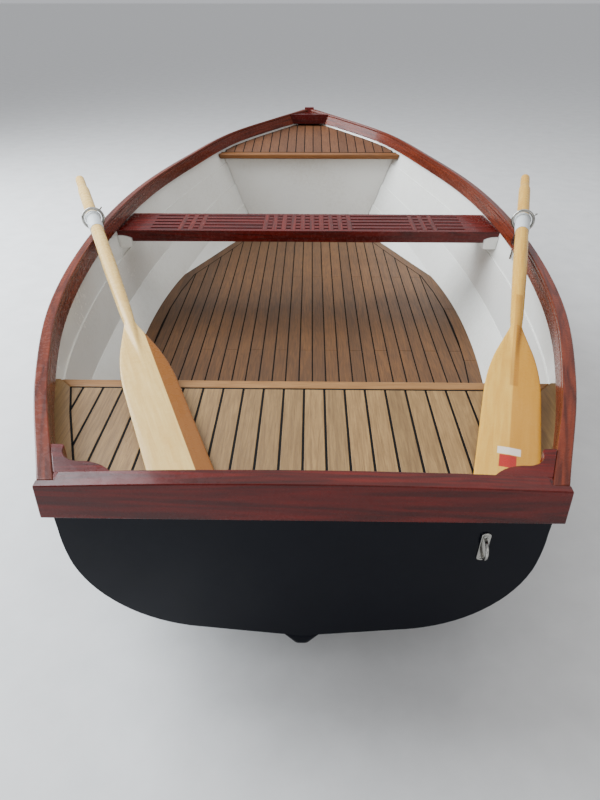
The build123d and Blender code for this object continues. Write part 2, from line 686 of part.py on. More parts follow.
def rowlock_and_oar(side, name, yaw, outboard):
    st = station_at(rowlock_y)
    (x, z), out, up = rail_frame(st)
    up3, out3 = Vector(side * up[0], 0, up[1]), Vector(side * out[0], 0, out[1])
    root = Vector(side * x, rowlock_y, z)
    next_x = rail_frame(station_at(rowlock_y + socket_plate_l))[0][0]
    rail_way = Vector(side * (next_x - x), socket_plate_l, 0)
    pin_root = root + out3 * (inwale_out - inwale_t / 2)
    top = clearance + cap_t
    pin_frame = Plane(origin=pin_root, x_dir=(rail_way - up3 * rail_way.dot(up3)).normalized(), z_dir=up3)

    # Socket: a plate on the cap, a cheek down the inwale's face and a tube through both rails
    tube_r = pin_d / 2 + pin_play + socket_wall
    plate_z = top + clearance
    plate_top = plate_z + socket_plate_t
    tube_low = -inwale_h - socket_below
    plate = extrude(Pos(0, 0, plate_z) * RectangleRounded(socket_plate_l, socket_plate_w, socket_plate_r),
                    socket_plate_t)
    face_in = inwale_t / 2 + 2 * clearance
    cheek_y = -face_in - socket_plate_t / 2
    inward = 1 if pin_frame.y_dir.dot(out3) > 0 else -1
    cheek = Box(socket_cheek_w, socket_plate_t, socket_cheek_h)
    cheek = Pos(0, inward * cheek_y, plate_top - socket_cheek_h / 2) * cheek
    tube = Pos(0, 0, (tube_low + plate_top) / 2) * Cylinder(tube_r, plate_top - tube_low)
    bore = Cylinder(pin_d / 2 + pin_play, tall)
    parts["rowlock_socket_" + name] = pin_frame * (plate + cheek + tube - bore)
    hole = pin_frame * Cylinder(tube_r + clearance, tall)

    # The oar's slope brings its blade down onto the seat.
    ring_low = top + ring_rise + ring_bar / 2
    bar_centre = pin_root + up3 * ring_low
    tip_level = seat_z + clearance + oar_blade_t / 2
    heading = Vector(-side * math.sin(math.radians(yaw)), -math.cos(math.radians(yaw)), 0)
    slope = 0
    for _ in range(8):
        run = heading * math.cos(slope) - Vector(0, 0, math.sin(slope))
        lift = (up3 - run * up3.dot(run)).normalized()
        axis_point = bar_centre + lift * (ring_bar / 2 + clearance + sleeve_d / 2)
        slope = math.asin((axis_point.Z - tip_level) / outboard)

    # The ring stands square to the oar's way through it.
    through = (run - up3 * run.dot(up3)).normalized()
    ring_plane = Plane(origin=pin_root + up3 * (ring_low + ring_r), x_dir=up3, z_dir=through)
    bar_section = Pos(ring_r, 0, 0) * Rot(90, 0, 0) * RegularPolygon(ring_bar / 2, ring_sides)
    ring = ring_plane * revolve(bar_section, Axis.Z)
    spoke = ring_plane.rotated((0, 0, -stub_angle)).x_dir
    stub_plane = Plane(origin=ring_plane.origin + spoke * ring_r, x_dir=through, z_dir=spoke)
    stub = stub_plane * (Pos(0, 0, stub_l / 2) * Cylinder(stub_d / 2, stub_l))
    pin_low = -inwale_h - pin_below
    pin = pin_frame * (Pos(0, 0, (pin_low + ring_low) / 2) * Cylinder(pin_d / 2, ring_low - pin_low))
    collar_z = plate_top + clearance
    collar = Cylinder(pin_d / 2 + shoulder_over, ring_low - collar_z)
    shoulder = pin_frame * (Pos(0, 0, (collar_z + ring_low) / 2) * collar)
    parts["rowlock_" + name] = ring + pin + shoulder + stub
    joint_lines.append(("rowlock_" + name, pin_root, up3 * (1 if side < 0 else -1)))

    # The oar lies on the seat by its tip and in the ring by its sleeve.
    grip_dir = run * -1
    frame = Plane(origin=axis_point, x_dir=Vector(0, 0, 1).cross(grip_dir), z_dir=grip_dir)
    r, grip_r = oar_shaft_d / 2, oar_grip_d / 2
    tip, blade_root, end = -outboard, oar_blade_l - outboard, oar_length - outboard
    profile = [
        (0, tip + blade_spine_from),
        (oar_neck_d / 2, blade_root),
        (r, blade_root + oar_taper_l),
        (r, end - oar_grip_l - oar_grip_taper),
        (grip_r, end - oar_grip_l),
        (grip_r, end - oar_grip_round),
        (grip_r - oar_grip_round, end),
        (0, end),
    ]
    shaft = revolve(make_face(Polyline(*[(x, 0, z) for x, z in profile], close=True)), Axis.Z)
    parts["oar_" + name] = frame * (shaft + Pos(0, 0, tip) * oar_blade())
    sleeve_profile = [
        (sleeve_bore / 2, -sleeve_aft),
        (sleeve_bore / 2 + sleeve_thin, -sleeve_aft),
        (sleeve_d / 2, -sleeve_aft + sleeve_taper),
        (sleeve_d / 2, sleeve_fwd - sleeve_flange_t),
        (sleeve_d / 2 + sleeve_flange, sleeve_fwd - sleeve_flange_t),
        (sleeve_d / 2 + sleeve_flange, sleeve_fwd),
        (sleeve_bore / 2, sleeve_fwd),
    ]
    sleeve = revolve(make_face(Polyline(*[(x, 0, z) for x, z in sleeve_profile], close=True)), Axis.Z)
    parts["oar_sleeve_" + name] = frame * sleeve
    joint_lines.append(("oar_" + name, bar_centre, run.cross(Vector(0, 0, 1)).normalized()))
    return hole


def oar_blade():
    # Half an outline in X and Z with the tip at zero, thinned from its spine to its edge, and its mirror.
    half = oar_blade_w / 2
    corner = blade_tip_round
    rim = [
        Line((0, 0), (half - corner, 0)),
        TangentArc((half - corner, 0), (half, corner), tangent=(1, 0)),
        Line((half, corner), (half, blade_full_to)),
        TangentArc((half, blade_full_to), blade_shoulder, tangent=(0, 1)),
        Line(blade_shoulder, (0, oar_blade_l)),
        Line((0, oar_blade_l), (0, 0)),
    ]
    side = extrude(Plane.XZ * make_face(rim), oar_blade_t, both=True)
    thin, thick = blade_edge_t / 2, oar_blade_t / 2
    section = [(0, -thick), (half, -thin), (half, thin), (0, thick)]
    side = side & extrude(make_face(Polyline(*section, close=True)), oar_blade_l)
    return side + mirror(side, Plane.YZ)


oar_table = ((1, "starboard", oar_yaw_stbd, oar_outboard_stbd), (-1, "port", oar_yaw_port, oar_outboard_port))
for side, name, yaw, outboard in oar_table:
    hole = rowlock_and_oar(side, name, yaw, outboard)
    own_cap = gunwale if side > 0 else mirror(gunwale, Plane.YZ)
    own_inwale = inwale if side > 0 else mirror(inwale, Plane.YZ)
    parts["gunwale_" + name] = own_cap - hole
    parts["inwale_" + name] = own_inwale - hole

# Transom eye
eye_plate = extrude(RectangleRounded(eye_plate_w, eye_plate_h, eye_plate_r), eye_plate_t)
loop_r = (eye_reach ** 2 + (eye_loop_h / 2) ** 2) / (2 * eye_reach)
loop_centre = eye_reach - loop_r
rod_section = Pos(0, loop_r, 0) * RegularPolygon(eye_rod / 2, eye_rod_sides)
loop = Pos(0, 0, loop_centre) * revolve(rod_section, Axis.X)
loop -= Pos(0, 0, -loop_r) * Box(eye_plate_h, eye_plate_h, 2 * loop_r)
eye_place = Plane(origin=transom_plane.origin + transom_plane.y_dir * ((eye_z - first.sheer_z) / rake_up.Z)
                  + Vector(eye_x, 0, 0) + transom_plane.z_dir * clearance,
                  x_dir=(1, 0, 0), z_dir=transom_plane.z_dir)
parts["transom_eye"] = eye_place * (eye_plate + loop)

# Origin amidships on the keel's flat underside
length = head.y + stem_t
shift = Vector(0, -length / 2, 0)
os.makedirs("parts", exist_ok=True)
for name, shape in parts.items():
    export_step(shape.moved(Location(shift)), "parts/" + name + ".step")
for name, point, axis in joint_lines:
    print(name, [round(v / 1000, 6) for v in point + shift], [round(v, 6) for v in axis])
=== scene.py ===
import bmesh
import bpy
import math
from mathutils import Matrix, Vector


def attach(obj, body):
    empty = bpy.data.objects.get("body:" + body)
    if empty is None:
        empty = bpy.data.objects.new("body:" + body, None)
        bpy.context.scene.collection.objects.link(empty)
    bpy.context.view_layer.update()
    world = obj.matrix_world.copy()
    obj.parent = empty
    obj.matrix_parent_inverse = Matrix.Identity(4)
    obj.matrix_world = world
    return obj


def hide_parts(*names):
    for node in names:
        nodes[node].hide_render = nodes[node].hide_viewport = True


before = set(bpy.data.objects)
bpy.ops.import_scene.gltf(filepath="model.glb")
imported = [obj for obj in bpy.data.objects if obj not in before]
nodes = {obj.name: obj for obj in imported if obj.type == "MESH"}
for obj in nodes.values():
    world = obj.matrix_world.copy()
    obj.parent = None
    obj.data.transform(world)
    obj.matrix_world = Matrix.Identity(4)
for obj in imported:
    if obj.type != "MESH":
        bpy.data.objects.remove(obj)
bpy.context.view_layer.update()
scene = bpy.context.scene
print("frame loaded")

# Shading helpers


def addNode(tree, kind, inputs=None, **settings):
    made = tree.nodes.new(kind)
    for key, value in settings.items():
        setattr(made, key, value)
    for key, value in (inputs or {}).items():
        if isinstance(value, bpy.types.NodeSocket):
            tree.links.new(value, made.inputs[key])
        else:
            made.inputs[key].default_value = value
    return made


def newGroup(name, inputs, outputs):
    tree = bpy.data.node_groups.new(name, "ShaderNodeTree")
    for label, kind, value in inputs:
        socket = tree.interface.new_socket(label, in_out="INPUT", socket_type="NodeSocket" + kind)
        if value is not None:
            socket.default_value = value
    for label, kind in outputs:
        tree.interface.new_socket(label, in_out="OUTPUT", socket_type="NodeSocket" + kind)
    return tree, tree.nodes.new("NodeGroupInput"), tree.nodes.new("NodeGroupOutput")


def colour(r, g, b):
    # sRGB out of 255 to linear
    shares = [c / 255 for c in (r, g, b)]
    return tuple(((s + 0.055) / 1.055) ** 2.4 if s > 10 / 255 else s / 12.92 for s in shares) + (1,)


def mixColour(tree, factor, a, b, blend="MIX"):
    made = addNode(tree, "ShaderNodeMix", {0: factor, 6: a, 7: b}, data_type="RGBA", blend_type=blend)
    return made.outputs[2]


def maths(tree, operation, a, b=0.5, c=0.5, clamp=False):
    made = addNode(tree, "ShaderNodeMath", {0: a, 1: b, 2: c}, operation=operation, use_clamp=clamp)
    return made.outputs[0]


def ramp(tree, value, stops):
    made = addNode(tree, "ShaderNodeValToRGB", {"Fac": value})
    elements = made.color_ramp.elements
    while len(elements) < len(stops):
        elements.new(0.5)
    for element, (place, shade) in zip(elements, stops):
        element.position = place
        element.color = (shade, shade, shade, 1) if isinstance(shade, (int, float)) else shade
    return made.outputs["Color"]


def noiseOf(tree, vector, scale, detail=4.0, rough=0.5, distortion=0.0):
    values = {"Vector": vector, "Scale": scale, "Detail": detail, "Roughness": rough,
              "Distortion": distortion}
    return addNode(tree, "ShaderNodeTexNoise", values).outputs["Fac"]


def scaled(tree, vector, factors):
    made = addNode(tree, "ShaderNodeVectorMath", {0: vector, 1: factors}, operation="MULTIPLY")
    return made.outputs[0]


def within(tree, value, low, high, soft=0.0006):
    # 1 between low and high, with a soft edge
    rise = addNode(tree, "ShaderNodeMapRange", {0: value, 1: low - soft, 2: low + soft})
    fall = addNode(tree, "ShaderNodeMapRange", {0: value, 1: high - soft, 2: high + soft, 3: 1.0, 4: 0.0})
    return maths(tree, "MULTIPLY", rise.outputs[0], fall.outputs[0])


# Wood: fine fibres, broad figure and dark pores, all stretched along the first axis of Vector.
woodTree, woodIn, woodOut = newGroup(
    "woodGrain",
    [("Vector", "Vector", None),
     ("Light", "Color", (0.5, 0.3, 0.2, 1)),
     ("Dark", "Color", (0.2, 0.1, 0.05, 1)),
     ("Fineness", "Float", 1.0),
     ("Figure", "Float", 0.5),
     ("Pores", "Float", 0.3)],
    [("Color", "Color"), ("Height", "Float")])
stretched = scaled(woodTree, woodIn.outputs["Vector"], (1.0, 16.0, 16.0))
fine = addNode(woodTree, "ShaderNodeVectorMath", {0: stretched, "Scale": woodIn.outputs["Fineness"]},
               operation="SCALE").outputs[0]
fibre = noiseOf(woodTree, fine, 9.0, 6.0, 0.62, 0.15)
broad = noiseOf(woodTree, fine, 1.7, 3.0, 0.5, 0.9)
pore = noiseOf(woodTree, fine, 42.0, 2.0, 0.5)
bands = maths(woodTree, "SINE", maths(woodTree, "MULTIPLY", broad, 34.0))
bands = maths(woodTree, "MULTIPLY_ADD", bands, 0.5, 0.5)
figure = maths(woodTree, "MULTIPLY", bands, woodIn.outputs["Figure"])
tone = maths(woodTree, "MULTIPLY_ADD", fibre, 1.25, figure)
tone = maths(woodTree, "SUBTRACT", tone, 0.35, clamp=True)
grown = mixColour(woodTree, tone, woodIn.outputs["Dark"], woodIn.outputs["Light"])
poreMask = ramp(woodTree, pore, [(0.3, 1.0), (0.42, 0.0)])
poreMask = maths(woodTree, "MULTIPLY", poreMask, woodIn.outputs["Pores"])
grown = mixColour(woodTree, poreMask, grown, woodIn.outputs["Dark"])
woodTree.links.new(grown, woodOut.inputs["Color"])
woodTree.links.new(maths(woodTree, "SUBTRACT", fibre, poreMask), woodOut.inputs["Height"])


def startMaterial(name):
    made = bpy.data.materials.new(name)
    made.use_nodes = True
    tree = made.node_tree
    return made, tree, tree.nodes["Principled BSDF"]


def placeVector(tree, turn=(0, 0, 0), attribute=None):
    if attribute:
        vector = addNode(tree, "ShaderNodeAttribute", attribute_name=attribute).outputs["Vector"]
    else:
        vector = addNode(tree, "ShaderNodeTexCoord").outputs["Object"]
    return addNode(tree, "ShaderNodeMapping", {"Vector": vector, "Rotation": turn}).outputs[0]


def bumpFrom(tree, height, strength, distance=0.001):
    made = addNode(tree, "ShaderNodeBump", {"Height": height, "Strength": strength, "Distance": distance})
    return made.outputs[0]


def grainOf(tree, vector, light, dark, fineness, figure, pores):
    grain = addNode(tree, "ShaderNodeGroup", node_tree=woodTree)
    tree.links.new(vector, grain.inputs["Vector"])
    values = {"Light": light, "Dark": dark, "Fineness": fineness, "Figure": figure, "Pores": pores}
    for key, value in values.items():
        grain.inputs[key].default_value = value
    return grain.outputs["Color"], grain.outputs["Height"]


def addVarnish(tree, shader, vector, height, rough):
    scuff = noiseOf(tree, vector, 55.0, 3.0, 0.6)
    tree.links.new(ramp(tree, scuff, [(0.45, rough), (0.7, rough + 0.12)]), shader.inputs["Roughness"])
    shader.inputs["Coat Weight"].default_value = 0.12
    shader.inputs["Coat Roughness"].default_value = 0.07
    shader.inputs["Specular IOR Level"].default_value = 0.2
    tree.links.new(bumpFrom(tree, height, 0.1), shader.inputs["Normal"])


def varnished(name, light, dark, turn=(0, 0, 0), attribute=None, rough=0.24, fineness=1.0, figure=0.45):
    made, tree, shader = startMaterial(name)
    vector = placeVector(tree, turn, attribute)
    shade, height = grainOf(tree, vector, light, dark, fineness, figure, 0.35)
    patch = noiseOf(tree, vector, 2.3, 2.0)
    shade = mixColour(tree, maths(tree, "MULTIPLY", patch, 0.45), shade, dark)
    tree.links.new(shade, shader.inputs["Base Color"])
    addVarnish(tree, shader, vector, height, rough)
    return made


laid = {"pitch": 48.0, "seam": 5.0, "sunk": 0.5, "deep": 7.0}  # teak planks and their caulking, in mm


def laidTeak(name, light, dark, offset, rough=0.55):
    # Bare teak planks along Y, each with its own tone and grain. offset moves the seams, in metres.
    made, tree, shader = startMaterial(name)
    place = addNode(tree, "ShaderNodeTexCoord").outputs["Object"]
    split = addNode(tree, "ShaderNodeSeparateXYZ", {0: place})
    across = maths(tree, "ADD", split.outputs[0], offset)
    index = maths(tree, "FLOOR", maths(tree, "DIVIDE", across, laid["pitch"] / 1000))
    own = addNode(tree, "ShaderNodeTexWhiteNoise", {"W": index}, noise_dimensions="1D")
    jump = scaled(tree, own.outputs["Color"], (9.0, 9.0, 9.0))
    along = addNode(tree, "ShaderNodeMapping", {"Vector": place, "Rotation": (0, 0, -math.pi / 2)})
    moved = addNode(tree, "ShaderNodeVectorMath", {0: along.outputs[0], 1: jump}, operation="ADD")
    vector = moved.outputs[0]
    shade, height = grainOf(tree, vector, light, dark, 1.5, 0.22, 0.5)
    brightness = maths(tree, "MULTIPLY_ADD", own.outputs["Value"], 0.34, 0.84)
    shade = addNode(tree, "ShaderNodeHueSaturation", {"Color": shade, "Value": brightness}).outputs[0]
    stain = noiseOf(tree, place, 5.5, 5.0, 0.6)
    shade = mixColour(tree, ramp(tree, stain, [(0.35, 0.0), (0.75, 0.4)]), shade, dark)
    tree.links.new(shade, shader.inputs["Base Color"])
    tree.links.new(maths(tree, "MULTIPLY_ADD", stain, 0.16, rough - 0.08), shader.inputs["Roughness"])
    tree.links.new(bumpFrom(tree, height, 0.35), shader.inputs["Normal"])
    return made


def gelcoat(name, shade, dusty, rough, ripple=0.03, coat=0.5, specular=0.5):
    made, tree, shader = startMaterial(name)
    place = addNode(tree, "ShaderNodeTexCoord").outputs["Object"]
    cloud = ramp(tree, noiseOf(tree, place, 3.0, 5.0, 0.55), [(0.4, 0.0), (0.75, 1.0)])
    speck = ramp(tree, noiseOf(tree, place, 60.0, 3.0, 0.7), [(0.45, 0.2), (0.7, 1.0)])
    mask = maths(tree, "MULTIPLY", cloud, speck)
    tree.links.new(mixColour(tree, mask, shade, dusty), shader.inputs["Base Color"])
    tree.links.new(maths(tree, "MULTIPLY_ADD", mask, 0.2, rough), shader.inputs["Roughness"])
    shader.inputs["Coat Weight"].default_value = coat
    shader.inputs["Coat Roughness"].default_value = 0.05
    shader.inputs["Specular IOR Level"].default_value = specular
    tree.links.new(bumpFrom(tree, noiseOf(tree, place, 9.0, 2.0), ripple, 0.01), shader.inputs["Normal"])
    return made


def plainFinish(name, shade, rough, metal=0.0, bump=0.05, scale=120.0, spread=0.18, specular=0.5):
    made, tree, shader = startMaterial(name)
    place = addNode(tree, "ShaderNodeTexCoord").outputs["Object"]
    fleck = noiseOf(tree, place, scale, 4.0, 0.6)
    darker = tuple(c * 0.78 for c in shade[:3]) + (1,)
    tree.links.new(mixColour(tree, fleck, darker, shade), shader.inputs["Base Color"])
    tree.links.new(maths(tree, "MULTIPLY_ADD", fleck, spread, rough), shader.inputs["Roughness"])
    shader.inputs["Metallic"].default_value = metal
    shader.inputs["Specular IOR Level"].default_value = specular
    tree.links.new(bumpFrom(tree, fleck, bump, 0.0005), shader.inputs["Normal"])
    return made


def oarWood(name, light, dark, zones):
    # zones: (colour, strength, along from, along to, across from, across to), in metres from the blade's
    # tip and from its middle line. Each colours the wood under the same varnish; the first two on the
    # starboard blade are painted shade.
    made, tree, shader = startMaterial(name)
    vector = placeVector(tree, attribute="grain")
    shade, height = grainOf(tree, vector, light, dark, 1.1, 0.18, 0.3)
    split = addNode(tree, "ShaderNodeSeparateXYZ", {0: vector})
    for tintAndShade, strength, alongFrom, alongTo, acrossFrom, acrossTo in zones:
        mask = maths(tree, "MULTIPLY", within(tree, split.outputs[0], alongFrom, alongTo),
                     within(tree, split.outputs[1], acrossFrom, acrossTo))
        mask = maths(tree, "MULTIPLY", mask, strength)
        shade = mixColour(tree, mask, shade, mixColour(tree, 0.35, tintAndShade, shade, "MULTIPLY"))
    tree.links.new(shade, shader.inputs["Base Color"])
    addVarnish(tree, shader, vector, height, 0.26)
    return made


whiteGel = gelcoat("whiteGelcoat", colour(236, 236, 230), colour(208, 204, 192), 0.2)
darkGel = gelcoat("navyGelcoat", (0.002, 0.0025, 0.006, 1), (0.005, 0.006, 0.01, 1), 0.1, ripple=0.02,
                  coat=0.0, specular=0.09)
mahoganyRail = varnished("mahoganyRail", colour(130, 54, 28), colour(56, 17, 9), attribute="grain")
mahoganyAcross = varnished("mahoganyAcross", colour(112, 18, 8), colour(44, 5, 3), fineness=0.8)
mahoganyAlong = varnished("mahoganyAlong", colour(116, 26, 13), colour(48, 8, 4),
                          turn=(0, 0, math.pi / 2))
hookRed = varnished("hookRed", colour(90, 10, 6), colour(36, 4, 3), fineness=0.8)
seatTeak = laidTeak("seatTeak", colour(172, 136, 82), colour(108, 78, 40), 0.0)
soleTeak = laidTeak("soleTeak", colour(124, 82, 38), colour(66, 40, 16), 0.024)
deckTeak = laidTeak("deckTeak", colour(130, 84, 48), colour(74, 42, 22), 0.024)
paleTeak = varnished("paleTeak", colour(184, 140, 88), colour(124, 84, 46),
                     rough=0.4, fineness=1.4, figure=0.2)
noseTeak = varnished("noseTeak", colour(160, 108, 62), colour(98, 60, 32),
                     rough=0.4, fineness=1.4, figure=0.2)
caulk = plainFinish("blackCaulk", (0.0025, 0.0022, 0.002, 1), 0.7, specular=0.15)
stainless = plainFinish("stainlessSteel", (0.44, 0.43, 0.4, 1), 0.12, 1.0, 0.03, 300.0)
# Near-black, on thin boxes across the screw heads: painted shade in the slots.
slotPaintedShade = plainFinish("screwSlotPaintedShade", (0.02, 0.02, 0.02, 1), 0.6)
collarGrey = plainFinish("collarPlastic", colour(214, 218, 218), 0.35, 0.0, 0.04, 200.0)
portWood = oarWood("portOarWood", colour(246, 214, 140), colour(214, 172, 96),
                   [(colour(128, 74, 18), 0.95, -0.1, 0.6, -0.09, -0.027)])
stbdWood = oarWood("starboardOarWood", colour(236, 192, 88), colour(204, 148, 48),
                   # painted shade: the right half of the blade darkened, as its shaded facet
                   [(colour(192, 134, 26), 0.7, -0.1, 0.62, -0.09, 0.0),
                    # painted shade: a darker streak along the spine near the neck
                    (colour(150, 92, 24), 0.4, 0.36, 0.78, -0.011, 0.007),
                    (colour(240, 240, 236), 1.0, 0.124, 0.145, -0.0225, 0.0225),
                    (colour(180, 40, 34), 1.0, 0.086, 0.122, -0.015, 0.018)])
print("materials made")

# Mesh helpers


def markSharp(bm, degrees=32):
    for face in bm.faces:
        face.smooth = True
    for edge in bm.edges:
        if len(edge.link_faces) == 2 and edge.calc_face_angle(0) > math.radians(degrees):
            edge.smooth = False


def keepPiece(bm, name, body, finishes, replaces=(), bevel=0.0, segments=2, angle=32):
    # Makes the bmesh an object that rides on its body, with its edges rounded by bevel metres.
    markSharp(bm, angle)
    mesh = bpy.data.meshes.new(name)
    bm.to_mesh(mesh)
    bm.free()
    piece = bpy.data.objects.new(name, mesh)
    scene.collection.objects.link(piece)
    for finish in finishes:
        mesh.materials.append(finish)
    if bevel:
        rounding = piece.modifiers.new("rounding", "BEVEL")
        rounding.width = bevel
        rounding.segments = segments
        rounding.limit_method = "ANGLE"
        rounding.angle_limit = math.radians(35)
    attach(piece, body)
    if replaces:
        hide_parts(*replaces)


def mergedCopy(node):
    # A copy of a CAD node's mesh with its triangles merged into flat faces.
    bm = bmesh.new()
    bm.from_mesh(nodes[node].data)
    bmesh.ops.remove_doubles(bm, verts=bm.verts, dist=0.00001)
    bmesh.ops.dissolve_limit(bm, angle_limit=math.radians(0.6), verts=bm.verts, edges=bm.edges)
    return bm


def roundedNode(node, finish, bevel, segments=2, headFinish=None, headFrom=9.0):
    # A node's own shape with eased edges and smooth curves, in another finish above headFrom metres.
    bm = mergedCopy(node)
    if headFinish:
        everything = bm.verts[:] + bm.edges[:] + bm.faces[:]
        bmesh.ops.bisect_plane(bm, geom=everything, plane_co=(0, 0, headFrom), plane_no=(0, 0, 1))
    for face in bm.faces:
        face.material_index = 1 if face.calc_center_median().z > headFrom else 0
    keepPiece(bm, node + ".eased", "hull", [finish, headFinish or finish], [node], bevel, segments)


def plateFrom(bm, points, vec):
    # A flat face through the points, extruded by vec. Gives back the far side's vertices.
    face = bm.faces.new([bm.verts.new(p) for p in points])
    far = bmesh.ops.extrude_face_region(bm, geom=[face])
    moved = [v for v in far["geom"] if isinstance(v, bmesh.types.BMVert)]
    bmesh.ops.translate(bm, verts=moved, vec=vec)
    bmesh.ops.recalc_face_normals(bm, faces=bm.faces)
    return moved


def grainLayer(bm):
    layers = bm.verts.layers.float_vector
    return layers.get("grain") or layers.new("grain")


def sweepChain(bm, sections):
    # Extrudes a closed chain of edges from section to section. "grain" holds the way along and around.
    layer = grainLayer(bm)
    chain = [bm.verts.new(p) for p in sections[0]]
    count = len(chain)
    pairs = [(i, (i + 1) % count) for i in range(count)]
    edges = [bm.edges.new((chain[a], chain[b])) for a, b in pairs]
    firstEdges = list(edges)
    along = 0.0
    rows = [chain]

    def label(verts, reach):
        around = 0.0
        for i, vert in enumerate(verts):
            if i:
                around += (vert.co - verts[i - 1].co).length
            vert[layer] = (reach, around, 0.0)

    label(chain, along)
    for points in sections[1:]:
        bmesh.ops.extrude_edge_only(bm, edges=edges)
        used = set(rows[-1]) | set(rows[-2] if len(rows) > 1 else ())
        nextTo = [[e.other_vert(v) for e in v.link_edges] for v in rows[-1]]
        fresh = [next(v for v in near if v not in used) for near in nextTo]
        along += (Vector(points[0]) - rows[-1][0].co).length
        for vert, point in zip(fresh, points):
            vert.co = point
        label(fresh, along)
        edges = [bm.edges.get((fresh[a], fresh[b])) for a, b in pairs]
        rows.append(fresh)
    bmesh.ops.edgenet_fill(bm, edges=firstEdges)
    bmesh.ops.edgenet_fill(bm, edges=edges)
    bmesh.ops.recalc_face_normals(bm, faces=bm.faces)
    return rows


def turned(bm, profile, matrix, steps, closed=False):
    # A profile of (radius, height) points turned round the matrix's Z.
    before = set(bm.verts)
    verts = [bm.verts.new((r, 0, z)) for r, z in profile]
    pairs = list(zip(verts, verts[1:])) + ([(verts[-1], verts[0])] if closed else [])
    edges = [bm.edges.new(pair) for pair in pairs]
    bmesh.ops.spin(bm, geom=verts + edges, cent=(0, 0, 0), axis=(0, 0, 1), angle=2 * math.pi,
                   steps=steps, use_merge=True)
    fresh = [v for v in bm.verts if v not in before]
    bmesh.ops.remove_doubles(bm, verts=fresh, dist=0.000001)
    fresh = [v for v in bm.verts if v not in before]
    bmesh.ops.transform(bm, matrix=matrix, verts=fresh)
    bmesh.ops.recalc_face_normals(bm, faces=bm.faces)


def frameAt(origin, xWay, zWay):
    zWay = zWay.normalized()
    xWay = (xWay - zWay * xWay.dot(zWay)).normalized()
    yWay = zWay.cross(xWay)
    turn = Matrix((xWay, yWay, zWay)).transposed()
    return Matrix.Translation(origin) @ turn.to_4x4()


def rounded(radius, low, high, edge):
    # Profile of a rod with eased ends
    flat, cut = radius - edge, edge * 0.3
    return [(0, low), (flat, low), (radius - cut, low + cut), (radius, low + edge),
            (radius, high - edge), (radius - cut, high - cut), (flat, high), (0, high)]


def screwHead(bm, matrix, radius=0.0042):
    dome = [(0, -0.001), (radius, -0.001), (radius, 0.0004), (radius * 0.86, 0.001),
            (radius * 0.5, 0.0016), (0, 0.0019)]
    turned(bm, dome, matrix, 24)


def screwSlots(bm, matrix, radius=0.0042):
    # Two thin boxes across the head, finished near-black as painted shade in the slots.
    for spin in (0, math.pi / 2):
        before = set(bm.verts)
        bmesh.ops.create_cube(bm, size=1)
        fresh = [v for v in bm.verts if v not in before]
        bmesh.ops.scale(bm, vec=(radius * 1.2, 0.0009, 0.0022), verts=fresh)
        bmesh.ops.rotate(bm, cent=(0, 0, 0), matrix=Matrix.Rotation(spin, 3, "Z"), verts=fresh)
        bmesh.ops.translate(bm, vec=(0, 0, 0.0009), verts=fresh)
        bmesh.ops.transform(bm, matrix=matrix, verts=fresh)


# The hull's lines, in mm as drawn

hull = {
    "stations": [  # y, keelY, halfBeam, sheerZ, keelZ, deadrise, flare, bilgeR, lap
        (14, 45, 443, 586, 120, 8.0, -1.0, 260, 4.0),
        (350, 374, 578, 576, 90, 7.0, 3.0, 230, 4.0),
        (750, 758, 694, 568, 54, 5.5, 6.0, 200, 4.0),
        (1200, 1200, 756, 565, 31, 5.0, 8.5, 175, 4.0),
        (1650, 1650, 766, 568, 25, 5.0, 9.5, 170, 4.0),
        (2050, 2050, 722, 580, 29, 6.0, 11.0, 160, 4.0),
        (2450, 2442, 612, 602, 40, 7.5, 14.5, 150, 4.0),
        (2850, 2808, 446, 637, 66, 12.0, 20.0, 110, 4.0),
        (3150, 3060, 212, 668, 130, 25.0, 18.0, 60, 3.0),
        (3350, 3215, 30, 692, 300, 55.0, 1.5, 6, 0.8),
    ],
    "strakes": 7,
    "skin": 5.0,
    "gap": 0.3,
    "amidships": 1692.0,
    "sections": 96,
    "flatFrom": 430.0,  # how far ahead of the transom the strakes are flat again
    "rounding": 5,  # steps across a strake
}
rails = {"capT": 12.0, "outwaleT": 8.0, "outwaleH": 64.0, "inwaleT": 16.0, "inwaleH": 46.0,
         "round": 0.003, "inwaleRound": 0.0025}
transom = {"thick": 20.0, "camber": 11.0, "shy": 0.8, "round": 0.0035, "boardRound": 0.002,
           "overhang": 1.0, "lean": 0.08, "joint": (26.0, 26.0, 38.0), "jointIn": 27.0, "jointZ": 564.5}
bothSides = ((1, "starboard"), (-1, "port"))


def lineAt(y):
    table = hull["stations"]
    i = max(1, next((k for k, s in enumerate(table) if s[0] >= y), len(table) - 1))
    a, b = table[i - 1], table[i]
    before = table[i - 2] if i > 1 else a
    after = table[i + 1] if i + 1 < len(table) else b
    t = (y - a[0]) / (b[0] - a[0])
    h = t * t * (3 - 2 * t)
    values = []  # a smooth curve through each column of the table
    for p0, p1, p2, p3 in zip(before, a, b, after):
        slopeA = (p2 - p0) / (b[0] - before[0]) * (b[0] - a[0])
        slopeB = (p3 - p1) / (after[0] - a[0]) * (b[0] - a[0])
        values.append(p1 * (1 - h) + p2 * h + slopeA * t * (1 - t) ** 2 - slopeB * t * t * (1 - t))
    names = ("y", "keelY", "half", "sheer", "keel", "dead", "flare", "bilge", "lap")
    return dict(zip(names, values))


def skinTop(st):
    return st["sheer"] - rails["capT"] - hull["gap"]


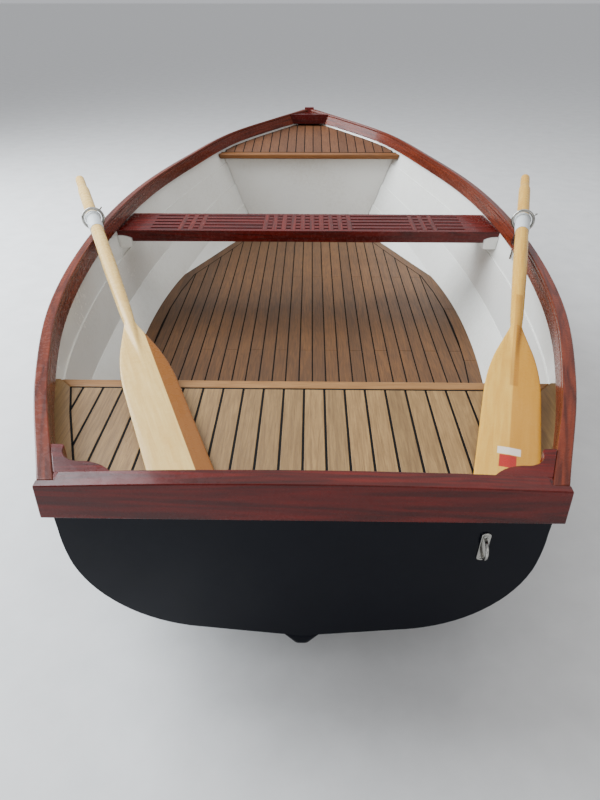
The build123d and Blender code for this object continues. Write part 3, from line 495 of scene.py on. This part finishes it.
def strakeEdges(st, count):
    # Points that cut the half section's girth into equal parts, from keel to sheer
    dead, flare = math.radians(st["dead"]), math.radians(st["flare"])
    depth = skinTop(st) - st["keel"]
    cornerX = (st["half"] - depth * math.tan(flare)) / (1 - math.tan(dead) * math.tan(flare))
    cornerZ = st["keel"] + cornerX * math.tan(dead)
    turn = math.pi / 2 - dead - flare
    tangent = st["bilge"] * math.tan(turn / 2)
    bottom = cornerX / math.cos(dead) - tangent
    side = (skinTop(st) - cornerZ) / math.cos(flare) - tangent
    bend = st["bilge"] * turn
    centreX = bottom * math.cos(dead) - st["bilge"] * math.sin(dead)
    centreZ = st["keel"] + bottom * math.sin(dead) + st["bilge"] * math.cos(dead)
    edges = []
    for i in range(count + 1):
        s = (bottom + bend + side) * i / count
        if s <= bottom:
            edges.append(Vector((s * math.cos(dead), st["keel"] + s * math.sin(dead))))
        elif s < bottom + bend:
            angle = dead + (s - bottom) / st["bilge"]
            edges.append(Vector((centreX + st["bilge"] * math.sin(angle),
                                 centreZ - st["bilge"] * math.cos(angle))))
        else:
            up = bottom + bend + side - s
            edges.append(Vector((st["half"] - up * math.sin(flare), skinTop(st) - up * math.cos(flare))))
    return edges


def crossing(p, v, q, w):
    k = ((q.x - p.x) * w.y - (q.y - p.y) * w.x) / (v.x * w.y - v.y * w.x)
    return p + v * k


def nearTransom(st):
    # 1 at the transom, falling smoothly to 0 where the strakes have become flat
    share = max(0.0, 1 - (st["y"] - hull["stations"][0][0]) / hull["flatFrom"])
    return share * share * (3 - 2 * share)


def sidePoints(st, offset, shift=0.0):
    # Half section from keel to sheer, as in the solids but with the laps dying out at the transom.
    edges = strakeEdges(st, hull["strakes"])
    strips = []
    for k in range(hull["strakes"]):
        way = edges[k + 1] - edges[k]
        up = way.normalized()
        out = Vector((up.y, -up.x))
        proud = st["lap"] * (1 - 0.94 * nearTransom(st)) if k else 0
        strips.append((edges[k + 1] + out * offset, way - out * proud, edges[k] + up * shift, out))
    points = [crossing(strips[0][0], strips[0][1], Vector((0, 0)), Vector((0, 1)))]
    for low, high in zip(strips, strips[1:]):
        points.append(crossing(low[0], low[1], high[2], high[3]))
        points.append(crossing(high[0], high[1], high[2], high[3]))
    points.append(strips[-1][0])
    return points


def curvedSide(st, offset, shift=0.0):
    # The same half section with each strake rounded to the bilge's curve near the transom.
    points = sidePoints(st, offset, shift)
    halves = strakeEdges(st, 2 * hull["strakes"])
    fade = nearTransom(st)
    curved = []
    for k in range(hull["strakes"]):
        low, high = points[2 * k], points[2 * k + 1]
        way = (halves[2 * k + 2] - halves[2 * k]).normalized()
        out = Vector((way.y, -way.x))
        swell = (halves[2 * k + 1] - (halves[2 * k] + halves[2 * k + 2]) / 2).dot(out) * fade
        for i in range(hull["rounding"] + 1):
            f = i / hull["rounding"]
            curved.append(low.lerp(high, f) + out * (4 * f * (1 - f) * swell))
    return curved


def place(x, y, z):
    return Vector((x, y - hull["amidships"], z)) / 1000


def inPlane(st, x, z):
    lean = (st["y"] - st["keelY"]) / (st["sheer"] - st["keel"])
    return place(x, st["keelY"] + lean * (z - st["keel"]), z)


def railFrame(st):
    low, high = sidePoints(st, 0)[-2:]
    up = (high - low).normalized()
    return high, Vector((up.y, -up.x)), up


def railPoints(st, corners, side=1):
    high, out, up = railFrame(st)
    flat = [high + out * a + up * b for a, b in corners]
    return [inPlane(st, side * p.x, p.y) for p in flat]


def innerHalf(y, z):
    points = sidePoints(lineAt(y), -hull["skin"] - hull["gap"], hull["skin"] + hull["gap"])
    for low, high in zip(points, points[1:]):
        if low.y <= z <= high.y:
            return low.x + (high.x - low.x) * (z - low.y) / (high.y - low.y)
    return points[-1].x


def transomY(z):
    first = lineAt(hull["stations"][0][0])
    slope = (first["y"] - first["keelY"]) / (first["sheer"] - first["keel"])
    return first["keelY"] + slope * (z - first["keel"])


aftY, foreY = hull["stations"][0][0], hull["stations"][-1][0]
lines = [lineAt(aftY + (foreY - aftY) * i / hull["sections"]) for i in range(hull["sections"] + 1)]

# Hull skin: dark outside and round its aft edge, white inside, the moulded laps softened by a bevel.
bm = bmesh.new()
rings = []
for st in lines:
    half = [(p.x, p.y) for p in curvedSide(st, 0)]
    liner = [(p.x, p.y) for p in curvedSide(st, -hull["skin"], hull["skin"])]
    ring = [(-x, z) for x, z in half][:0:-1] + half + liner[:0:-1] + [(-x, z) for x, z in liner]
    rings.append([inPlane(st, x, z) for x, z in ring])
rows = sweepChain(bm, rings)
outerCount = 2 * len(half) - 1
outerVerts = {v for row in rows for v in row[:outerCount]}
edgeVerts = set(rows[0])
for face in bm.faces:
    outside = all(v in outerVerts for v in face.verts) or all(v in edgeVerts for v in face.verts)
    face.material_index = 0 if outside else 1
keepPiece(bm, "hullSkin", "hull", [darkGel, whiteGel], ["hull_shell"], 0.0016, 2)
print("hull skin made")

# Gunwales: cap with its outer leg, and the inwale below it.
gap = hull["gap"]
inwaleOut = -(hull["skin"] + gap)
inwaleIn = inwaleOut - rails["inwaleT"]
legOut = gap + rails["outwaleT"]
capTop = gap + rails["capT"]
capCorners = [(inwaleIn, gap), (gap, gap), (gap, -rails["outwaleH"]), (legOut, -rails["outwaleH"]),
              (legOut, capTop), (inwaleIn, capTop)]
inwaleCorners = [(inwaleIn, -rails["inwaleH"]), (inwaleOut, -rails["inwaleH"]),
                 (inwaleOut, 0), (inwaleIn, 0)]
start = aftY + transom["thick"] + 2
shortened = [lineAt(start)] + [st for st in lines if st["y"] > start + 5]
for side, word in bothSides:
    bm = bmesh.new()
    sweepChain(bm, [railPoints(st, capCorners, side) for st in lines])
    keepPiece(bm, "gunwaleRail." + word, "hull", [mahoganyRail], ["gunwale_" + word],
              rails["round"], 3)
    bm = bmesh.new()
    sweepChain(bm, [railPoints(st, inwaleCorners, side) for st in shortened])
    keepPiece(bm, "inwaleRail." + word, "hull", [mahoganyRail], ["inwale_" + word],
              rails["inwaleRound"], 2)
print("rails made")

# Transom: a moulded plate that fills the section, eased round its edge, and its wooden board.
first = lines[0]
rakeUp = Vector((0, first["y"] - first["keelY"], first["sheer"] - first["keel"])).normalized()
rakeOut = Vector((1, 0, 0)).cross(rakeUp)
rim = curvedSide(first, -transom["shy"])
arch = []
for i in range(1, 11):
    share = 1 - i / 10
    arch.append(Vector((rim[-1].x * share, rim[-1].y + transom["camber"] * (1 - share ** 2))))
half = rim + arch
outline = half + [Vector((-p.x, p.y)) for p in half[-2:0:-1]]
bm = bmesh.new()
aftFace = [inPlane(first, p.x, p.y) + rakeOut * (gap / 1000) for p in outline]
foreFace = plateFrom(bm, aftFace, -rakeOut * (transom["thick"] / 1000))
for face in bm.faces:
    face.material_index = 1 if all(v in foreFace for v in face.verts) else 0
keepPiece(bm, "transomPlate", "hull", [darkGel, whiteGel], ["transom_panel"],
          transom["round"], 4)
bm = mergedCopy("transom_board")
boardEnd = (first["half"] + legOut + transom["overhang"]) / 1000
for vert in bm.verts:
    if abs(vert.co.x) > (first["half"] - 3) / 1000:  # its ends, drawn out to the rails
        below = max(0.0, first["sheer"] / 1000 - vert.co.z)
        vert.co.x = math.copysign(boardEnd + transom["lean"] * below, vert.co.x)
keepPiece(bm, "transomBoard", "hull", [mahoganyAcross], ["transom_board"],
          transom["boardRound"], 3)
for side, word in bothSides:
    # Solid wood under the joint of rail, board and knee
    bm = bmesh.new()
    bmesh.ops.create_cube(bm, size=1)
    bmesh.ops.scale(bm, vec=Vector(transom["joint"]) / 1000, verts=bm.verts)
    middle = place(side * (first["half"] - transom["jointIn"]), transom["jointIn"], transom["jointZ"])
    bmesh.ops.translate(bm, vec=middle, verts=bm.verts)
    keepPiece(bm, "cornerJoint." + word, "hull", [mahoganyAcross], (), 0.001, 1)
print("transom made")

# Black caulking, a little lower than the wood, between the teak planks


def seamStrip(bm, path, top):
    # A flat-topped strip along (x, y) points.
    half = (laid["seam"] / 2 + gap) / 1000
    centre = [place(x, y, 0) for x, y in path]
    sections = []
    for i, point in enumerate(centre):
        way = centre[min(i + 1, len(centre) - 1)] - centre[max(i - 1, 0)]
        out = Vector((way.y, -way.x, 0)).normalized() * half
        level = top(path[i][1])
        high, low = (level - laid["sunk"]) / 1000, (level - laid["deep"]) / 1000
        sections.append([point + out + Vector((0, 0, low)), point + out + Vector((0, 0, high)),
                         point - out + Vector((0, 0, high)), point - out + Vector((0, 0, low))])
    sweepChain(bm, sections)


def clearSpan(x, top, inset, y0, y1):
    # The stretch of a seam at x that lies inside the margin boards.
    ys = [y0 + (y1 - y0) * i / 160 for i in range(161)]
    inside = [y for y in ys if innerHalf(y, top(y)) - inset > abs(x)]
    return (min(inside), max(inside)) if inside else None


def caulkField(bm, xs, top, inset, y0, y1):
    for x in xs:
        span = clearSpan(x, top, inset, y0, y1)
        if span and span[1] - span[0] > 12:
            seamStrip(bm, [(x, span[0]), (x, span[1])], top)


seat = {"z": 491.0, "front": 490.0, "nosing": 34.0, "margin": 43.0, "sliver": 9.0}
seatAft = transomY(seat["z"]) + transom["thick"] + 1
seatTop = lambda y: seat["z"]
seatEdge = seat["front"] - seat["nosing"]
bm = bmesh.new()
caulkField(bm, [i * laid["pitch"] for i in range(-12, 13)], seatTop, seat["margin"] + laid["seam"] / 2,
           seatAft, seatEdge - laid["seam"] / 2)
ys = [seatAft + (seatEdge - seatAft) * i / 24 for i in range(25)]
for side in (-1, 1):
    inset = seat["margin"] + laid["seam"] / 2
    seamStrip(bm, [(side * (innerHalf(y, seat["z"]) - inset), y) for y in ys], seatTop)
reach = innerHalf(seatEdge, seat["z"]) - seat["margin"] - laid["seam"] / 2
seamStrip(bm, [(-reach, seatEdge - laid["seam"] / 2), (reach, seatEdge - laid["seam"] / 2)], seatTop)
keepPiece(bm, "seatCaulking", "hull", [caulk])

# Narrow tapered planks at the seat's two front corners, outside the twelfth seam from the middle
outermost = 11 * laid["pitch"] + laid["seam"] / 2
front = seatEdge - laid["seam"]
ys = [front - 12 * i for i in range(30)]
edge = [(innerHalf(y, seat["z"]) - seat["margin"] - laid["seam"], y) for y in ys]
edge = [(x, y) for x, y in edge if x > outermost + 1.5]
corners = [(outermost, front)] + edge + [(outermost, edge[-1][1] - 4)]
for side, word in bothSides:
    bm = bmesh.new()
    under = [place(side * x, y, seat["z"] - seat["sliver"]) for x, y in corners]
    plateFrom(bm, under, (0, 0, seat["sliver"] / 1000))
    keepPiece(bm, "seatSliver." + word, "hull", [seatTeak], (), 0.0008, 2)

sole = {"z": 131.0, "aft": 456.0, "front": 2640.0, "margin": 46.0}
soleTop = lambda y: sole["z"]
soleFront = sole["front"] - sole["margin"]
bm = bmesh.new()
inset = sole["margin"] + laid["seam"] / 2
caulkField(bm, [(i + 0.5) * laid["pitch"] for i in range(-14, 14)], soleTop, inset,
           sole["aft"], soleFront)
ys = [sole["aft"] + (soleFront - sole["aft"]) * i / 80 for i in range(81)]
for side in (-1, 1):
    inner = [(side * (innerHalf(y, sole["z"]) - inset), y) for y in ys]
    seamStrip(bm, [p for p in inner if abs(p[0]) > 10], soleTop)
    edge = [(side * (innerHalf(y, sole["z"]) - 1.0), y) for y in ys]
    seamStrip(bm, edge, soleTop)
keepPiece(bm, "soleCaulking", "hull", [caulk])

deck = {"aft": 2700.0, "nosing": 38.0, "end": 3233.0, "hook": 3235.0, "length": 535.0, "drop": 64.0}
deckLow = lineAt(deck["aft"])["sheer"] - deck["drop"]
deckRise = (lineAt(deck["hook"])["sheer"] - lineAt(deck["aft"])["sheer"]) / deck["length"]
deckTop = lambda y: deckLow + deckRise * (y - deck["aft"])
bm = bmesh.new()
deckStart = deck["aft"] + deck["nosing"] + laid["seam"] / 2
caulkField(bm, [(i + 0.5) * laid["pitch"] for i in range(-10, 10)], deckTop, 3.0, deckStart, deck["end"])
reach = innerHalf(deckStart, deckTop(deckStart)) - 2
seamStrip(bm, [(-reach, deckStart), (reach, deckStart)], deckTop)
keepPiece(bm, "deckCaulking", "hull", [caulk])
print("caulking made")

# Trim that keeps its own shape, with eased edges.
easedNodes = [  # node, finish, slot, edge, segments
    ("quarter_knee_starboard", mahoganyAcross, "mahogany", 0.0015, 2),
    ("quarter_knee_port", mahoganyAcross, "mahogany", 0.0015, 2),
    ("breasthook", hookRed, "mahogany", 0.004, 3),
    ("thwart", mahoganyAcross, "mahogany", 0.0012, 2),
    ("thwart_crossbars", mahoganyAlong, "mahogany", 0.0008, 2),
    ("thwart_apron_aft", mahoganyAcross, "mahogany", 0.0025, 2),
    ("thwart_apron_fore", mahoganyAcross, "mahogany", 0.0025, 2),
    ("thwart_ledge_starboard", whiteGel, "gelcoat_white", 0.006, 3),
    ("thwart_ledge_port", whiteGel, "gelcoat_white", 0.006, 3),
    ("seat_nosing", paleTeak, "teak", 0.004, 3),
    ("seat_margin_starboard", seatTeak, "teak", 0.0012, 2),
    ("seat_margin_port", seatTeak, "teak", 0.0012, 2),
    ("seat_planks", seatTeak, "teak", 0.0008, 2),
    ("sole_planks", soleTeak, "teak", 0.0008, 2),
    ("sole_margins", soleTeak, "teak", 0.0008, 2),
    ("deck_planks", deckTeak, "teak", 0.0008, 2),
    ("deck_nosing", noseTeak, "teak", 0.005, 3),
    ("keel", darkGel, "gelcoat_dark", 0.01, 5),
    ("bilge_keel_starboard", darkGel, "gelcoat_dark", 0.004, 2),
    ("bilge_keel_port", darkGel, "gelcoat_dark", 0.004, 2),
    ("bow_bulkhead", whiteGel, "gelcoat_white", 0.0015, 2),
    ("seat_locker_front", whiteGel, "gelcoat_white", 0.0015, 2),
    ("rowlock_socket_starboard", stainless, "stainless", 0.0006, 2),
    ("rowlock_socket_port", stainless, "stainless", 0.0006, 2),
]
for node, finish, slotName, edge, segments in easedNodes:
    roundedNode(node, finish, edge, segments)
roundedNode("stem", darkGel, 0.005, 3, mahoganyAcross, 0.64)
for name in ("seat_panel", "sole_panel", "deck_panel"):
    nodes[name].data.materials.clear()
    nodes[name].data.materials.append(caulk)
print("trim eased")

# Oars, rowlocks and collars, in mm
rowlock = {"y": 1372.0, "pin": 9.5, "plateL": 56.0, "plateT": 3.0, "below": 36.0, "ringR": 35.0,
           "bar": 10.0, "rise": 7.0, "stub": 6.0, "stubL": 16.0, "stubAngle": 50.0, "shoulder": 2.5,
           "screwR": 3.6, "screwAt": 20.0}
oar = {"length": 1845.0, "shaft": 21.5, "neck": 17.0, "taper": 300.0, "grip": 18.0, "gripL": 120.0,
       "gripTaper": 30.0, "half": 62.0, "thick": 5.5, "edge": 2.5, "corner": 22.0, "full": 330.0,
       "shoulder": (42.0, 515.0), "blade": 690.0, "spine": 380.0, "around": 72, "swell": 0.6,
       "endRound": 9.0}
collar = {"r": 25.0, "bore": 21.8, "aft": 95.0, "taper": 40.0, "thin": 1.2, "fore": 22.0,
          "flange": 3.0, "flangeT": 6.0}


def oarLines(side, yaw, outboard):
    st = lineAt(rowlock["y"])
    high, flatOut, flatUp = railFrame(st)
    up, out = Vector((side * flatUp.x, 0, flatUp.y)), Vector((side * flatOut.x, 0, flatOut.y))
    pinRoot = Vector((side * high.x, rowlock["y"], high.y)) + out * (inwaleOut - rails["inwaleT"] / 2)
    ringLow = capTop + rowlock["rise"] + rowlock["bar"] / 2
    tipLevel = seat["z"] + gap + oar["thick"]
    heading = Vector((-side * math.sin(math.radians(yaw)), -math.cos(math.radians(yaw)), 0))
    slope = 0.0
    for _ in range(8):
        run = heading * math.cos(slope) - Vector((0, 0, math.sin(slope)))
        lift = (up - run * up.dot(run)).normalized()
        axis = pinRoot + up * ringLow + lift * (rowlock["bar"] / 2 + gap + collar["r"])
        slope = math.asin((axis.z - tipLevel) / outboard)
    through = (run - up * run.dot(up)).normalized()
    return pinRoot, up, out, ringLow, axis, run, through


def metres(point):
    return place(*point)


def shaftRadius(t):
    if t < oar["spine"]:
        return 0.0
    if t < oar["blade"]:
        k = (t - oar["spine"]) / (oar["blade"] - oar["spine"])
        return oar["neck"] * k * (1.25 - 0.25 * k)
    if t < oar["blade"] + oar["taper"]:
        k = (t - oar["blade"]) / oar["taper"]
        return oar["neck"] + (oar["shaft"] - oar["neck"]) * k
    end = oar["length"]
    if t < end - oar["gripL"] - oar["gripTaper"]:
        return oar["shaft"]
    if t < end - oar["gripL"]:
        k = (end - oar["gripL"] - t) / oar["gripTaper"]
        return oar["grip"] + (oar["shaft"] - oar["grip"]) * k * k * (3 - 2 * k)
    k = max(0.0, (t - end + oar["endRound"]) / oar["endRound"])
    swell = oar["swell"] * (math.sin(math.pi * (t - end + oar["gripL"]) / oar["gripL"]) - 1)
    return oar["grip"] + swell - oar["endRound"] * (1 - math.sqrt(max(0.0, 1 - k * k)))


def bladeHalf(t):
    half, corner = oar["half"], oar["corner"]
    if t < corner:
        return half - corner + math.sqrt(corner ** 2 - (corner - t) ** 2)
    if t < oar["full"]:
        return half
    wide, far = oar["shoulder"]
    if t < far:
        drop = half - wide
        bend = (drop ** 2 + (far - oar["full"]) ** 2) / (2 * drop)
        return half - bend + math.sqrt(bend ** 2 - (t - oar["full"]) ** 2)
    return max(0.0, wide * (oar["blade"] - t) / (oar["blade"] - far))


def oarSection(t, matrix):
    radius, wide = shaftRadius(t), bladeHalf(t)
    half = max(radius, wide, 0.5)
    ease = math.sqrt(max(0.02, 1 - max(0.0, (3 - t) / 3) ** 2))
    points, labels = [], []
    for i in range(oar["around"]):
        turn = 2 * math.pi * i / oar["around"]
        x = half * math.cos(turn)
        flat = 0.0
        if wide > 1:
            share = min(1.0, abs(x) / wide)
            swell = oar["edge"] + (oar["thick"] - oar["edge"]) * (1 - share)
            flat = swell * math.sqrt(1 - share ** 14) * ease
        bulge = math.sqrt(max(0.0, radius ** 2 - x * x))
        height = (flat ** 5 + bulge ** 5) ** 0.2
        y = math.copysign(height, math.sin(turn)) if abs(math.sin(turn)) > 0.0001 else 0.0
        points.append(matrix @ (Vector((x, y, t)) / 1000))
        labels.append((t / 1000, x / 1000, y / 1000))
    return points, labels


# Steps along an oar from the blade's tip, closest where its outline bends
oarSteps = [0, 0.3, 0.8, 1.6, 3, 5, 8, 12, 17, 22] + list(range(50, 331, 35)) + list(range(345, 700, 15))
oarSteps += list(range(720, 1000, 30)) + [1050, 1150, 1250, 1350, 1450, 1550, 1650, 1690]
oarSteps += list(range(1696, 1728, 4)) + list(range(1740, 1836, 12))
oarSteps += [1836, 1838, 1840, 1842, 1843.5, 1844.5, 1845]
oarSet = [  # side, word, yaw in degrees, mm outboard of the collar, finish
    (1, "starboard", 16.5, 1360.0, stbdWood),
    (-1, "port", 23.0, 1385.0, portWood),
]
for side, word, yaw, outboard, wood in oarSet:
    pinRoot, up, out, ringLow, axis, run, through = oarLines(side, yaw, outboard)
    grip = -run
    base = frameAt(metres(axis + run * outboard), Vector((0, 0, 1)).cross(grip), grip)
    bm = bmesh.new()
    made = [oarSection(t, base) for t in oarSteps]
    oarRows = sweepChain(bm, [points for points, _ in made])
    layer = grainLayer(bm)
    for row, (_, labels) in zip(oarRows, made):
        for vert, value in zip(row, labels):
            vert[layer] = value
    keepPiece(bm, "oarWood." + word, "oar_" + word, [wood], ["oar_" + word], angle=50)

    bm = bmesh.new()
    bore, thin = collar["bore"] / 1000, (collar["bore"] + collar["thin"]) / 1000
    outer, lip = collar["r"] / 1000, (collar["r"] + collar["flange"]) / 1000
    a, f = -collar["aft"] / 1000, collar["fore"] / 1000
    ft, tapered = f - collar["flangeT"] / 1000, a + collar["taper"] / 1000
    sleeve = [(bore, a), (thin - 0.0003, a), (thin, a + 0.0004), (outer - 0.0004, tapered),
              (outer, tapered + 0.003), (outer, -0.012), (outer, 0.010), (outer, ft - 0.001),
              (outer + 0.001, ft), (lip - 0.0015, ft), (lip, ft + 0.0015), (lip, f - 0.0015),
              (lip - 0.0015, f), (bore, f)]
    turned(bm, sleeve, frameAt(metres(axis), Vector((0, 0, 1)).cross(grip), grip), 48, True)
    keepPiece(bm, "oarCollar." + word, "oar_" + word, [collarGrey],
              ["oar_sleeve_" + word], angle=50)

    # Ring, pin with its shoulder, and stub
    bm = bmesh.new()
    centre = pinRoot + up * (ringLow + rowlock["ringR"])
    bar, ringR = rowlock["bar"] / 2000, rowlock["ringR"] / 1000
    turns = [k * math.pi / 8 for k in range(16)]
    hoop = [(ringR + bar * math.cos(a), bar * math.sin(a)) for a in turns]
    turned(bm, hoop, frameAt(metres(centre), up, through), 64, True)
    sideways = through.cross(up)
    angle = math.radians(rowlock["stubAngle"])
    spoke = up * math.cos(angle) - sideways * math.sin(angle)
    stub = rounded(rowlock["stub"] / 2000, 0.0, rowlock["stubL"] / 1000, 0.0012)
    turned(bm, stub, frameAt(metres(centre + spoke * rowlock["ringR"]), through, spoke), 20)
    pinLow = -rails["inwaleH"] - rowlock["below"]
    pinFrame = frameAt(metres(pinRoot), out, up)
    turned(bm, rounded(rowlock["pin"] / 2000, pinLow / 1000, ringLow / 1000, 0.0012), pinFrame, 24)
    plateTop = capTop + gap + rowlock["plateT"]
    shoulderR = (rowlock["pin"] / 2 + rowlock["shoulder"]) / 1000
    shoulder = rounded(shoulderR, (plateTop + gap) / 1000, ringLow / 1000, 0.001)
    turned(bm, shoulder, pinFrame, 24)
    keepPiece(bm, "rowlockRing." + word, "rowlock_" + word, [stainless],
              ["rowlock_" + word], angle=50)

    # Screws in the socket's plate
    heads, slots = bmesh.new(), bmesh.new()
    nextHigh = railFrame(lineAt(rowlock["y"] + rowlock["plateL"]))[0]
    thisHigh = railFrame(lineAt(rowlock["y"]))[0]
    railWay = Vector((side * (nextHigh.x - thisHigh.x), rowlock["plateL"], 0)).normalized()
    for step in (-rowlock["screwAt"], rowlock["screwAt"]):
        spot = frameAt(metres(pinRoot + up * plateTop + railWay * step), railWay, up)
        screwHead(heads, spot, rowlock["screwR"] / 1000)
        screwSlots(slots, spot, rowlock["screwR"] / 1000)
    keepPiece(heads, "socketScrews." + word, "hull", [stainless], angle=50)
    keepPiece(slots, "socketSlotPaintedShade." + word, "hull", [slotPaintedShade])
print("oars and rowlocks made")

# Pad eye on the transom: plate, half ring and two screws
eye = {"x": 335.0, "z": 427.0, "w": 17.0, "h": 75.0, "t": 3.0, "round": 7.5, "rod": 6.0,
       "reach": 23.9, "loopH": 40.0, "sunk": 0.5, "screws": 28.5}
eyeRoot = Vector((eye["x"], transomY(eye["z"]), eye["z"])) + rakeOut * gap
eyeFrame = frameAt(metres(eyeRoot), Vector((1, 0, 0)), rakeOut)
bm = bmesh.new()
outline = []
for cornerX, cornerY, turn in ((1, 1, 0), (-1, 1, 90), (-1, -1, 180), (1, -1, 270)):
    for k in range(9):
        a = math.radians(turn + 90 * k / 8)
        outline.append((cornerX * (eye["w"] / 2 - eye["round"]) + eye["round"] * math.cos(a),
                        cornerY * (eye["h"] / 2 - eye["round"]) + eye["round"] * math.sin(a)))
plateFrom(bm, [(x / 1000, y / 1000, 0) for x, y in outline], (0, 0, eye["t"] / 1000))
bmesh.ops.transform(bm, matrix=eyeFrame, verts=bm.verts)
keepPiece(bm, "eyePlate", "hull", [stainless], ["transom_eye"], 0.0009, 2)
bm = bmesh.new()
loopR = (eye["reach"] ** 2 + (eye["loopH"] / 2) ** 2) / (2 * eye["reach"])
loopCentre = eye["reach"] - loopR
rod = eye["rod"] / 2
sink = math.asin((loopCentre - eye["sunk"]) / loopR)  # past a half turn, so its ends meet the plate
bow = []
for k in range(33):
    a = -sink + (math.pi + 2 * sink) * k / 32
    mid = Vector((0, loopR * math.cos(a), loopCentre + loopR * math.sin(a)))
    outward = Vector((0, math.cos(a), math.sin(a)))
    around = [2 * math.pi * j / 16 for j in range(16)]
    ring = [mid + outward * rod * math.cos(t) + Vector((rod * math.sin(t), 0, 0)) for t in around]
    bow.append([eyeFrame @ (p / 1000) for p in ring])
sweepChain(bm, bow)
keepPiece(bm, "eyeLoop", "hull", [stainless], angle=60)
heads, slots = bmesh.new(), bmesh.new()
for step in (-eye["screws"], eye["screws"]):
    spot = eyeFrame @ Matrix.Translation((0, step / 1000, eye["t"] / 1000))
    screwHead(heads, spot)
    screwSlots(slots, spot)
keepPiece(heads, "eyeScrews", "hull", [stainless], angle=50)
keepPiece(slots, "eyeSlotPaintedShade", "hull", [slotPaintedShade])
print("eye made")

# Floor, light and camera
bpy.ops.mesh.primitive_plane_add(size=400, location=(0, 0, 0))
floor = bpy.context.object
floor.name = "floor"
floor.data.materials.append(plainFinish("paleFloor", (0.86, 0.86, 0.85, 1), 0.6, 0.0, 0.02, 8.0))


def softLight(name, at, target, size, power, shade):
    lamp = bpy.data.lights.new(name, "AREA")
    lamp.shape = "RECTANGLE"
    lamp.size, lamp.size_y = size
    lamp.energy = power
    lamp.color = shade
    holder = bpy.data.objects.new(name, lamp)
    scene.collection.objects.link(holder)
    holder.location = at
    holder.rotation_mode = "QUATERNION"
    holder.rotation_quaternion = (Vector(target) - Vector(at)).to_track_quat("-Z", "Y")


softLight("skyLight", (-3.4, 0.4, 3.0), (0, 0.2, 0.3), (3.5, 4.5), 580, (0.88, 0.94, 1.0))
softLight("overhead", (0.6, 0.8, 4.4), (0, 0, 0.2), (4.5, 4.5), 80, (1.0, 0.98, 0.95))
softLight("behindLight", (1.6, -5.0, 2.2), (0, -1.2, 0.4), (3.0, 2.0), 30, (1.0, 0.97, 0.92))

world = bpy.data.worlds.new("studio")
scene.world = world
world.use_nodes = True
world.node_tree.nodes["Background"].inputs["Color"].default_value = (0.93, 0.95, 1.0, 1)
world.node_tree.nodes["Background"].inputs["Strength"].default_value = 0.6

cameraSet = {"at": (0.010, -2.441, 1.265), "down": 33.82, "toPort": 0.95, "lens": 27.0}
cameraData = bpy.data.cameras.new("photoCamera")
cameraData.lens = cameraSet["lens"]
cameraData.sensor_width = 36
camera = bpy.data.objects.new("photoCamera", cameraData)
scene.collection.objects.link(camera)
camera.location = cameraSet["at"]
camera.rotation_euler = (math.radians(90 - cameraSet["down"]), 0, math.radians(cameraSet["toPort"]))
scene.camera = camera
print("stage ready")
